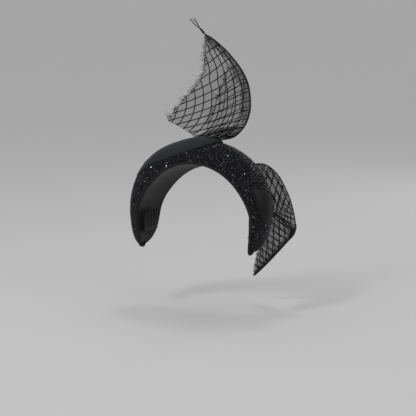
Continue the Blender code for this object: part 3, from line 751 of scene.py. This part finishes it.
def net_piece(name, node, surface, fields, body, radius, extra,
              ground=M_GROUND):
    """Thin ground sheet with the mesh's thick lines, knots and frays on it."""
    sheet = thin_sheet(name + "_ground", surface, ground, body)
    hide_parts(node)
    sets = []
    for field, levels in fields:
        lines = []
        for line in contours(surface, field, levels):
            line, length = tidy_line(line)
            if length > 4.0:
                lines.append(line)
        sets.append(lines)
    paths = [line for lines in sets for line in lines]
    knots = knots_at(sets, 1.0)
    bumps = None
    if len(knots):
        verts, parts = scatter_solid(knots, np.tile([0.0, 1.0, 0.0], (len(knots), 1)),
                                     np.full(len(knots), radius * 1.75), KNOT, KNOT_FACES)
        bumps = (verts, np.vstack(parts))
    wave = [radius * (1.0 + 0.14 * np.sin(np.arange(len(p)) * 1.9 + k)) for k, p in enumerate(paths)]
    mesh = tubes(name + "_mesh", paths, wave, M_NET, body, sides=6, extra=bumps)
    frays = tubes(name + "_frays", extra, 0.17, M_NET, body, sides=4)
    return sheet


def sail_surface(inner, outer, cols, bulge, offset):
    rows = len(inner)
    span = outer - inner
    first = inner + span / np.linalg.norm(span, axis=1, keepdims=True) * 0.7
    full = np.sin(np.pi * (0.06 + 0.88 * np.linspace(0.0, 1.0, rows)))[:, None]
    t = np.linspace(0.0, 1.0, cols)[None, :]
    p = first[:, None] * (1.0 - t[..., None]) + outer[:, None] * t[..., None]
    p[..., 1] += offset * (1.0 - t) + bulge * np.sin(np.pi * t) * full
    return p


def fold_side(z):
    """How far the rolled fold lies to the wearer's right at height z."""
    fold = smooth_path(SAIL_FOLD, 200)
    return np.interp(z, fold[:, 2], -fold[:, 0])


def sail_fields(p, shift, lean, rise):
    """Two families of net lines: one follows the fold, the other climbs towards it."""
    side, z = -p[..., 0], p[..., 2]
    width = np.interp(z, [100, 185, 222, 238, 244], [12.3, 12.3, 8.0, 4.4, 3.4])
    away = fold_side(z) - side
    follow = (away + shift[0] + lean * (z - 165.0)) / width
    slope = rise * np.interp(z, [115, 165, 225], [0.40, 0.52, 0.66])
    closer = 0.006 * np.maximum(z - 190.0, 0.0) ** 2
    climb = z + closer + slope * np.maximum(away, 0.0) ** 2 / (np.maximum(away, 0.0) + 12.0)
    climb = (climb - shift[1]) / 12.2
    return [(follow, np.arange(1, 16)), (climb, np.arange(-4, 40))]


def foot_threads(surface, count, tallest):
    """Net bunched at the sail's foot: crowded threads that thin out upwards."""
    rows, cols = surface.shape[:2]
    out = []
    for _ in range(count):
        start = RNG.uniform(0.0, 0.62)
        top = int(rows * tallest * RNG.uniform(0.25, 1.0) * (1.0 - 0.6 * start))
        r = np.arange(0, max(top, 6), 3)
        drift = RNG.uniform(-0.06, 0.10) * r / rows / tallest
        c = np.clip((start + drift) * (cols - 1), 0, cols - 1).astype(int)
        line = surface[r, c].copy()
        line[:, 1] += RNG.uniform(-1.0, 1.0)
        if len(line) > 3:
            out.append(tidy_line(line)[0])
    return out


def bunched_foot(surface):
    """Crowded layers of net just above the foot, highest next to the fold."""
    rows, cols = surface.shape[:2]
    share = np.linspace(0.0, 0.72, 46)
    top = 0.17 * np.cos(share / 0.72 * np.pi / 2.0) ** 0.7 + 0.01
    up = np.linspace(0.0, 1.0, 26)[:, None]
    r = np.clip(3.0 + up * top[None, :] * (rows - 1), 0, rows - 2)
    c = np.broadcast_to(share[None, :] * (cols - 1), r.shape)
    r0, c0 = r.astype(int), np.minimum(c.astype(int), cols - 2)
    fr, fc = (r - r0)[..., None], (c - c0)[..., None]
    low = surface[r0, c0] * (1.0 - fc) + surface[r0, c0 + 1] * fc
    high = surface[r0 + 1, c0] * (1.0 - fc) + surface[r0 + 1, c0 + 1] * fc
    sheet = low * (1.0 - fr) + high * fr
    sheet[..., 1] += 1.0 + 0.5 * np.sin(c * 1.1 + r * 0.35)
    return thin_sheet("sail_foot_bunch", sheet, M_DENSE, "sail")


def turned_net(surface):
    """Net turned in along the fold, which spreads over most of the width at the point."""
    rows, cols = surface.shape[:2]
    up = np.linspace(0.20, 0.985, 90)
    share = np.interp(up, [0.20, 0.45, 0.70, 0.84, 0.93, 0.985], [0.06, 0.17, 0.20, 0.32, 0.75, 0.9])
    width = share * (1.0 + 0.16 * np.sin(23.0 * up) + 0.10 * np.sin(57.0 * up + 1.0))
    lines = []
    for height, last in zip(up, width):
        row = surface[int(round(height * (rows - 1)))]
        at = np.linspace(0.0, last * (cols - 1), 12)
        lines.append(np.stack([np.interp(at, np.arange(cols), row[:, k]) for k in range(3)], -1))
    sheet = np.stack(lines, 0)
    sheet[..., 1] -= 0.9
    piece = thin_sheet("sail_turned_net", sheet, M_GROUND, "sail")
    threads = [sheet[n % 3 * 4:80 + n % 4 * 3, c].copy() for n, c in enumerate((2, 4, 5, 7, 8, 10, 11))]
    return piece, threads


SAIL_CORNER_ROW = 48      # rows of the sail below its outer corner


def build_sail():
    rows = 201
    fold = smooth_path(SAIL_FOLD, rows)
    low_edge = smooth_path(SAIL_LONG_EDGE[:4], SAIL_CORNER_ROW)
    edge = np.vstack([low_edge, smooth_path(SAIL_LONG_EDGE[3:], rows - SAIL_CORNER_ROW + 1)[1:]])
    corner = int(np.argmax(edge[:, 0]))
    inward = fold - edge
    count = np.arange(rows)
    torn = 0.8 * np.sin(count * 1.3) + 0.9 * np.sin(count * 0.47 + 2.0) + 0.5 * np.sin(count * 2.3 + 1.0)
    torn *= np.clip((count - corner) / 12.0, 0.0, 1.0) * np.clip((rows - 8 - count) / 20.0, 0.0, 1.0)
    edge = edge + inward / np.linalg.norm(inward, axis=1, keepdims=True) * torn[:, None]
    surface = sail_surface(fold, edge, 91, -7.0, -2.0)
    cut = slice(corner, rows - 6)
    frays = whiskers(edge[cut], inward[cut], 330, 3.2, 0.9, 0.8)
    frays += whiskers(edge[cut], inward[cut], 26, 7.0, 0.8)
    frays += [edge[:corner + 1:2], edge[corner - 1::2]] + foot_threads(surface, 26, 0.22)
    turned, turned_threads = turned_net(surface)
    frays += turned_threads
    bunch = bunched_foot(surface)
    drawn_to = np.array([-20.0, -35.5, 105.0])
    drawn = [np.linspace(surface[0, c], drawn_to, 6) for c in (4, 8, 12, 16, 21, 26, 32)]
    foot = tubes("sail_foot_threads", drawn, 0.75, M_ROLL, "sail", sides=6)
    fields = sail_fields(surface, (0.0, 112.0), 0.0, 1.0)
    net_piece("sail_long", "sail_long_layer", surface, fields, "sail", 0.71,
              frays)
    low, high = int(rows * 0.05), int(rows * 0.65)
    short_fold = fold[low:high]
    short_edge = smooth_path(SAIL_SHORT_EDGE, high - low)
    surface = sail_surface(short_fold, short_edge, 51, 5.0, 2.6)
    inward = short_fold - short_edge
    frays = whiskers(short_edge[8:], inward[8:], 170, 3.6, 0.9, 0.8) + foot_threads(surface, 20, 0.4)
    frays += [short_edge[::3]]
    fields = sail_fields(surface, (5.5, 117.0), 0.16, 1.35)
    net_piece("sail_short", "sail_short_layer", surface, fields, "sail", 0.54,
              frays, ground=M_SHEER)


def rolled_edge(name, node, line, radius, body, turns):
    """Edge rolled on itself, with the net's ridges winding round it."""
    line = np.asarray(line)
    n = len(line)
    radius = np.broadcast_to(np.asarray(radius, float), (n,))
    tangent = np.gradient(line, axis=0)
    tangent /= np.linalg.norm(tangent, axis=1, keepdims=True)
    side = np.cross(tangent, [0.0, 1.0, 0.02])
    side /= np.linalg.norm(side, axis=1, keepdims=True)
    other = np.cross(tangent, side)
    paths, radii = [line], [radius * (0.80 + 0.06 * np.sin(np.arange(n) * 0.9))]
    for k in range(4):
        a = np.linspace(0.0, 2.0 * np.pi * turns, n) + k * np.pi / 2.0
        paths.append(line + around(side, other, a) * radius[:, None] * 0.72)
        radii.append(radius * (0.34 + 0.05 * np.sin(np.arange(n) * 0.6 + k)))
    piece = tubes(name, paths, radii, M_ROLL, body, sides=7)
    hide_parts(node)
    return piece


def build_sail_fold():
    line = smooth_path([(-21.0, -35.2, 105.4)] + SAIL_FOLD + SAIL_TIP[:2], 261)
    radius = np.interp(np.linspace(0.0, 1.0, 261), [0.0, 0.04, 0.90, 1.0], [0.8, 1.25, 1.25, 0.75])
    rolled_edge("sail_fold_roll", "sail_fold_wire", line, radius, "sail", 18)


def gathered_body(name, rings, mat, body, node):
    quads, index = ring_quads(*rings.shape[:2])
    faces = quads.tolist() + [index[0, ::-1].tolist(), index[-1].tolist()]
    piece = new_piece(name, rings.reshape(-1, 3), faces, mat, body)
    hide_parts(node)
    return piece


def root_line(t):
    """Angle, depth and radius of the sail's foot, from its left end at 0 to the fold at 1."""
    return 6.0 - 17.0 * t, -41.5 + 6.0 * t, 104.4 + 1.4 * t


def build_sail_root():
    rows, cols = 61, 60
    t = np.linspace(0.0, 1.22, rows)[:, None]
    a = np.linspace(0.0, 2.0 * np.pi, cols, endpoint=False)[None, :]
    swell = np.maximum(np.sin(np.pi * (0.07 + 0.86 * t / 1.22)), 0.0) ** 0.5
    ribs = 1.0 + 0.13 * np.cos(10.0 * a + 9.0 * t) * (0.6 + 0.4 * np.sin(14.0 * t))
    phi, y, r = root_line(t)
    rings = place(phi + 0.0 * a, y + 2.5 * swell * ribs * np.cos(a),
                  r - 0.2 + (1.7 + 0.2 * t) * swell * ribs * np.sin(a))
    gathered_body("sail_root_pleats", rings, M_ROLL, "halo", "sail_root_gather")
    t = np.linspace(0.1, 0.9, 181)
    phi, y, r = root_line(t)
    stitch = place(phi, y - 3.4, r + 0.9 * np.sin(12.0 * np.pi * t))
    thread = tubes("sail_root_stitches", [stitch], 0.3, M_THREAD, "halo", sides=6)
    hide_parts("sail_root_thread")


def twist(line, spread, turns, phase, side, other):
    a = phase + 2.0 * np.pi * turns * np.linspace(0.0, 1.0, len(line))
    return line + around(side, other, a) * np.reshape(spread, (-1, 1))


def build_sail_tip():
    line = smooth_path(SAIL_TIP, 121)
    t = np.linspace(0.0, 1.0, 121)
    side, other = np.array([0.7, 0.0, -0.7]), np.array([0.0, 1.0, 0.0])
    apart = np.clip((t - 0.40) / 0.30, 0.0, 1.0)
    spread = 0.75 + 1.3 * apart * apart * (3.0 - 2.0 * apart)
    for letter, phase, kept in (("a", 0.0, 121), ("b", math.pi, 106)):
        turn = phase + 2.0 * np.pi * np.minimum(t / 0.40, 1.0)
        centre = line + around(side, other, turn) * spread[:, None]
        centre = centre[:kept]
        plies = [twist(centre, np.full(kept, 0.38), 11, k * 2.0 * np.pi / 3.0, side, other)
                 for k in range(3)]
        thin = list(0.42 - 0.14 * t[:kept] for _ in plies)
        loose = whiskers(centre[80:], -np.gradient(centre, axis=0)[80:], 7, 4.0, 0.4, 0.35)
        loose += whiskers(centre[45:70], -side * np.ones((25, 3)) * (1.0, 0.0, -1.0), 2, 3.0, 0.4, 0.35)
        piece = tubes("tip_thread_" + letter, plies + loose, thin + [0.18] * len(loose), M_THREAD, "sail",
                      sides=5)
        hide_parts("sail_tip_thread_" + letter)
    wrap = smooth_path(SAIL_TIP, 25)
    start, end = wrap[0], wrap[5]
    run = (end - start) / np.linalg.norm(end - start)
    side = np.cross(run, [0.0, 0.0, 1.0])
    side /= np.linalg.norm(side)
    other = np.cross(run, side)
    t = np.linspace(0.0, 1.0, 161)
    a = 2.0 * np.pi * 9.0 * t
    coil = start + (end - start) * t[:, None]
    coil = coil + around(side, other, a) * (1.5 - 0.3 * t[:, None])
    piece = tubes("tip_whipping", [coil], 0.3, M_THREAD, "sail", sides=6)
    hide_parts("sail_tip_whipping")


# ---------------------------------------------------------------- veil
def veil_surface(side, rows, cols):
    edge_a = smooth_path(VEIL_INNER, rows)
    edge_b = smooth_path(VEIL_RIM + VEIL_HEM[1:], rows)
    across = edge_b - edge_a
    length = np.linalg.norm(across, axis=1)
    across /= length[:, None]
    tangent = np.gradient(edge_b, axis=0)
    tangent /= np.linalg.norm(tangent, axis=1, keepdims=True)
    square = np.linalg.norm(across - tangent * np.sum(across * tangent, axis=1, keepdims=True), axis=1)
    clear = np.minimum(0.7 / np.maximum(square, 0.45), 0.7 * length)
    last = edge_b - across * clear[:, None]
    t = np.linspace(0.0, 1.0, cols)[None, :, None]
    p = edge_a[:, None] * (1.0 - t) + last[:, None] * t
    out = np.array([-0.35, -0.9, 0.0]) / math.hypot(0.35, 0.9) * -side
    lobe = np.abs(np.sin(2.0 * np.pi * (0.02 + 0.96 * np.linspace(0.0, 1.0, rows))))[:, None]
    shift = 1.2 + 3.5 * lobe * np.sin(np.pi * t[..., 0])
    return p + out * shift[..., None], edge_a, last


VEIL_MESH = 8.2      # side of a diamond
VEIL_CORNER_ROW = 96      # rows of the veil above its outer corner


def veil_fields(p, offset, turn):
    """Net lines as the camera side sees them: steep in the upper lobe, flatter in the lower one."""
    foot = np.array(VEIL_INNER[4], float)
    d = p - foot
    reach = np.linalg.norm(d, axis=-1, keepdims=True)
    d = d * (1.0 + 0.9 * np.exp(-reach / 14.0))
    right = -d[..., 0] * 0.93 - d[..., 1] * 0.37
    up = d[..., 2]
    lower = 1.0 / (1.0 + np.exp(up / 6.0))
    steep = np.radians(-60.0 + 25.0 * lower + turn)
    cross = np.radians(72.0 + 16.0 * lower + turn)
    first = (-right * np.sin(steep) + up * np.cos(steep)) / VEIL_MESH + offset[0]
    second = (-right * np.sin(cross) + up * np.cos(cross)) / VEIL_MESH + offset[1]
    levels = np.arange(-20, 21)
    return [(first, levels), (second, levels)]


def pleat_rows(surface, k):
    """Row numbers, column by column, of a line from the pinched foot to near the rim's corner."""
    reach = np.linalg.norm(surface[:, 0] - np.array(VEIL_INNER[4], float), axis=1)
    along = np.linspace(0.0, 1.0, surface.shape[1])
    rows = np.argmin(reach) + 28.0 * along + k * (0.2 + 0.8 * along ** 1.3)
    return np.clip(rows, 0, surface.shape[0] - 1)


def pleat_threads(surface, spread):
    """Threads drawn together in the pleat that runs from the pinched foot to the rim's corner."""
    columns = np.arange(surface.shape[1])
    lines = [surface[pleat_rows(surface, k).astype(int), columns].copy() for k in spread]
    return [tidy_line(line)[0] for line in lines]


def veil_layers(name, surface, inner, last):
    """Doubled net: the pleat from the foot to the corner, and the turned-in border."""
    columns = np.arange(surface.shape[1])
    lines = []
    for k in np.linspace(-7.0, 7.0, 15):
        r = pleat_rows(surface, k)
        low = np.floor(r).astype(int)
        share = (r - low)[:, None]
        high = np.minimum(low + 1, surface.shape[0] - 1)
        lines.append(surface[low, columns] * (1.0 - share) + surface[high, columns] * share)
    lift = np.array([0.0, 0.5, 0.0])
    pleat = thin_sheet(name + "_pleat", np.stack(lines, 0) + lift, M_VEIL, "veil")
    back = (inner - last)[VEIL_CORNER_ROW:]
    length = np.linalg.norm(back, axis=1, keepdims=True)
    turned = (back / length * np.minimum(4.5, 0.5 * length))[:, None]
    edge = last[VEIL_CORNER_ROW:, None] + turned * np.linspace(0.0, 1.0, 5)[None, :, None]
    border = thin_sheet(name + "_border", edge - lift, M_DENSE, "veil")
    return [pleat, border]


def build_veil():
    for name, node, side, offset, turn in (("veil_front", "veil_front_layer", -1.0, (0.0, 0.0), 0.0),
                                           ("veil_back", "veil_back_layer", 1.0, (0.45, 0.4), 7.0)):
        surface, inner, last = veil_surface(side, 181, 61)
        longest = 3.2 if side < 0 else 2.6
        ends = whiskers(inner[6:84], (last - inner)[6:84], 40, longest, 0.3)
        ends += whiskers(inner[100:174], (last - inner)[100:174], 40, longest, 0.3)
        ends += pleat_threads(surface, (-7, -3.5, 0, 3.5, 7)) + [inner[::4]]
        also = veil_layers(name, surface, inner, last) if side < 0 else []
        net_piece(name, node, surface, veil_fields(surface, offset, turn), "veil", 0.6,
                  ends, ground=M_VEIL)
    rolled_edge("veil_rim_roll", "veil_rim_wire", smooth_path(VEIL_RIM, 181), 0.92, "veil", 14)
    line = smooth_path([(-118.6, -71.6, -9.0)] + VEIL_HEM, 161)
    radius = np.interp(np.linspace(0.0, 1.0, 161), [0.0, 0.12, 1.0], [0.95, 1.7, 1.6])
    rolled_edge("veil_hem_roll", "veil_hem", line, radius, "veil", 9)


def build_veil_foot():
    foot = on_band(VEIL_PHI, VEIL_THETA)
    axis = scale_normals(np.array(VEIL_PHI), np.array(VEIL_THETA))
    side = np.cross(axis, [0.0, 0.0, 1.0])
    side /= np.linalg.norm(side)
    other = np.cross(axis, side)
    along = np.linspace(1.4, 6.6, 25)[:, None]
    a = np.linspace(0.0, 2.0 * np.pi, 48, endpoint=False)[None, :]
    radius = np.interp(along, [1.4, 2.6, 4.6, 6.6], [4.4, 4.2, 3.2, 4.0]) * (1.0 + 0.12 * np.cos(12.0 * a))
    rings = foot + axis * along[..., None] + around(side, other, a) * radius[..., None]
    gathered_body("veil_gather_pleats", rings, M_ROLL, "halo", "veil_gather")
    t = np.linspace(0.0, 1.0, 121)
    a = 2.0 * np.pi * 3.0 * t
    coil = foot + axis * (3.2 + 2.3 * t)[:, None]
    coil = coil + around(side, other, a) * 4.3
    thread = tubes("veil_pinch_stitches", [coil], 0.33, M_THREAD, "halo", sides=6)
    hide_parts("veil_pinch_thread")


# ---------------------------------------------------------------- carried-over CAD nodes
CARRIED = {
    "base_shell": M_BUCKRAM, "headband_core": M_CORE, "crown_padding": M_WADDING,
    "rear_edge_wire": M_WIRE, "front_edge_wire": M_WIRE, "sail_anchor_patch": M_FELT,
    "veil_anchor_disc": M_FELT, "left_comb": M_COMB, "right_comb": M_COMB,
    "left_comb_thread": M_THREAD, "right_comb_thread": M_THREAD,
}


def paint_carried():
    for node, mat in CARRIED.items():
        mesh = NODES[node].data
        mesh.materials.clear()
        mesh.materials.append(mat)


# ---------------------------------------------------------------- studio
AZIMUTH, ELEVATION, DISTANCE = 22.0, 10.0, 2.0      # from straight behind, towards the wearer's right


def camera_axes():
    az, el = math.radians(AZIMUTH), math.radians(ELEVATION)
    right = Vector((-math.cos(az), -math.sin(az), 0.0))
    back = Vector((-math.sin(az) * math.cos(el), math.cos(az) * math.cos(el), math.sin(el)))
    return right, back.cross(right), back


def build_camera():
    right, up, back = camera_axes()
    target = right * 0.01755 + up * 0.0162
    data = bpy.data.cameras.new("camera")
    data.lens = 128.2
    data.sensor_width = 36.0
    camera = bpy.data.objects.new("camera", data)
    bpy.context.scene.collection.objects.link(camera)
    camera.location = target + back * DISTANCE
    camera.rotation_euler = back.to_track_quat("Z", "Y").to_euler()
    bpy.context.scene.camera = camera


def area_light(name, direction, distance, size, power, colour=(1.0, 1.0, 1.0)):
    """Square soft light aimed at the halo; direction is (right, up, towards the camera)."""
    right, up, back = camera_axes()
    way = (right * direction[0] + up * direction[1] + back * direction[2]).normalized()
    data = bpy.data.lights.new(name, "AREA")
    data.shape = "SQUARE"
    data.size = size
    data.energy = power
    data.color = colour
    light = bpy.data.objects.new(name, data)
    bpy.context.scene.collection.objects.link(light)
    light.location = Vector((0.0, -0.03, 0.08)) + way * distance
    light.rotation_euler = way.to_track_quat("Z", "Y").to_euler()


def build_studio():
    floor_z = -130.0
    reach = [0.0, 400.0, 1500.0, 6000.0, 60000.0]
    verts = [(0.0, -30.0, floor_z)]
    for radius in reach[1:]:
        for k in range(48):
            a = 2.0 * math.pi * k / 48
            verts.append((radius * math.cos(a), radius * math.sin(a) - 30.0, floor_z))
    faces = [(0, 1 + k, 1 + (k + 1) % 48) for k in range(48)]
    for ring in range(len(reach) - 2):
        near, far = 1 + 48 * ring, 49 + 48 * ring
        for k in range(48):
            j = (k + 1) % 48
            faces.append((near + k, far + k, far + j, near + j))
    mat = make_material("studio_paper", (0.64, 0.64, 0.64), 0.9, bump=0.05, scale=60.0, specular=0.1)
    floor = new_piece("studio_floor", verts, faces, mat, None)
    area_light("key", (-0.7, 0.9, 0.9), 1.3, 0.20, 3.4)
    area_light("fill", (0.9, 0.35, 0.9), 1.4, 0.25, 1.5)
    area_light("top", (0.1, 1.0, -0.1), 1.2, 0.25, 1.6)
    area_light("rim", (0.8, 0.5, -0.9), 1.4, 0.25, 1.2)
    world = bpy.data.worlds.new("world")
    world.use_nodes = True
    world.node_tree.nodes["Background"].inputs["Color"].default_value = (0.96, 0.96, 0.97, 1.0)
    tree = world.node_tree
    coords = add_node(tree, "ShaderNodeTexCoord")
    parts = add_node(tree, "ShaderNodeSeparateXYZ")
    brighter = add_node(tree, "ShaderNodeMapRange")
    for key, value in (("From Min", 0.0), ("From Max", 0.5), ("To Min", 0.42), ("To Max", 0.62)):
        brighter.inputs[key].default_value = value
    tree.links.new(coords.outputs["Generated"], parts.inputs[0])
    tree.links.new(parts.outputs["Z"], brighter.inputs["Value"])
    tree.links.new(brighter.outputs["Result"], tree.nodes["Background"].inputs["Strength"])
    bpy.context.scene.world = world
    bpy.context.scene.view_settings.view_transform = "Standard"


# ---------------------------------------------------------------- build
build_cover()
build_beads()
build_lining()
build_binding("rear_tape", "rear_binding", rear_edge, 1.0)
build_binding("front_tape", "front_binding", front_edge, -1.0)
build_laid()
build_sail()
build_sail_fold()
build_sail_root()
build_sail_tip()
build_veil()
build_veil_foot()
paint_carried()
build_camera()
build_studio()
